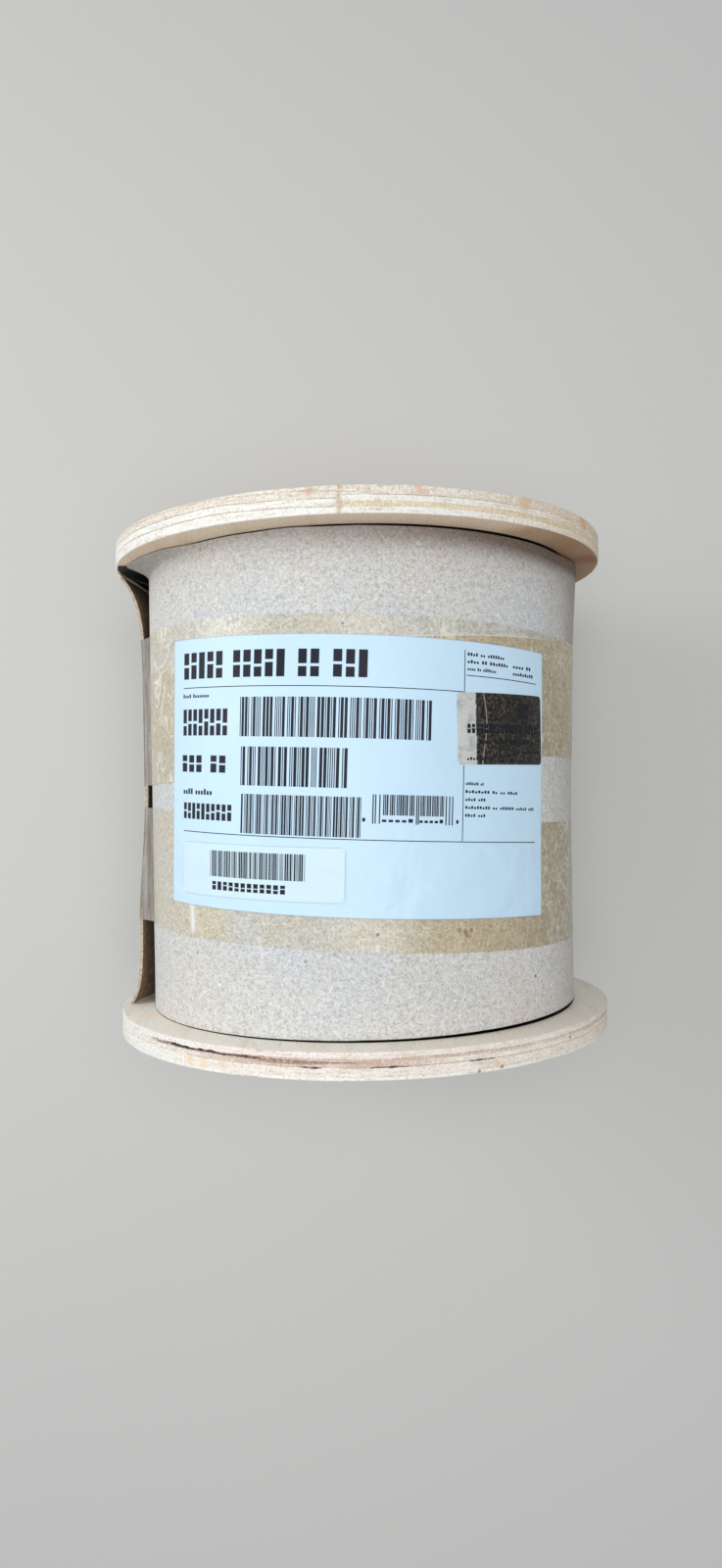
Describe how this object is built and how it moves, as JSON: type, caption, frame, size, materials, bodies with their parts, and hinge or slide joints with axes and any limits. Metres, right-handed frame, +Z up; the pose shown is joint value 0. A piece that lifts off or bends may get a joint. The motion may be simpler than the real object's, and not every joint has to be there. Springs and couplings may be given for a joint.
{
  "type": "wooden cable drum",
  "caption": "Small plywood cable drum lying on its rims, full of cable under a taped chipboard wrap with a plain label, with an arbor hole through both flanges.",
  "frame": {"origin": "on the drum's axis, midway between the outer faces of the flanges", "axes": "+Y along the drum's axis towards the top flange, +Z up through the middle of the label, +X to the right of the label"},
  "size_m": [0.21, 0.206, 0.21],
  "materials": {
    "plywood": "bare sawn plywood, plies showing on the rim",
    "barrel_paper": "spiral wound grey-brown paper tube",
    "zinc_steel": "zinc plated steel",
    "cable_jacket": "grey vinyl jacket",
    "chipboard": "rough grey-beige chipboard",
    "clear_tape": "clear packing tape, which darkens the board under it",
    "label_paper": "smooth white label paper",
    "sticker_paper": "smooth white sticker paper",
    "bronze_foil": "dark bronze foil with a silvery edge"
  },
  "bodies": {
    "root": {"top_flange": "plywood", "bottom_flange": "plywood", "barrel_tube": "barrel_paper", "tie_bolt_1": "zinc_steel", "top_washer_1": "zinc_steel", "bottom_washer_1": "zinc_steel", "nut_1": "zinc_steel", "tie_bolt_2": "zinc_steel", "top_washer_2": "zinc_steel", "bottom_washer_2": "zinc_steel", "nut_2": "zinc_steel", "tie_bolt_3": "zinc_steel", "top_washer_3": "zinc_steel", "bottom_washer_3": "zinc_steel", "nut_3": "zinc_steel", "cable_winding": "cable_jacket", "chipboard_wrap": "chipboard", "lower_tape": "clear_tape", "upper_tape": "clear_tape", "second_tape": "clear_tape", "product_label": "label_paper", "barcode_sticker": "sticker_paper", "foil_seal": "bronze_foil"}
  },
  "joints": []
}
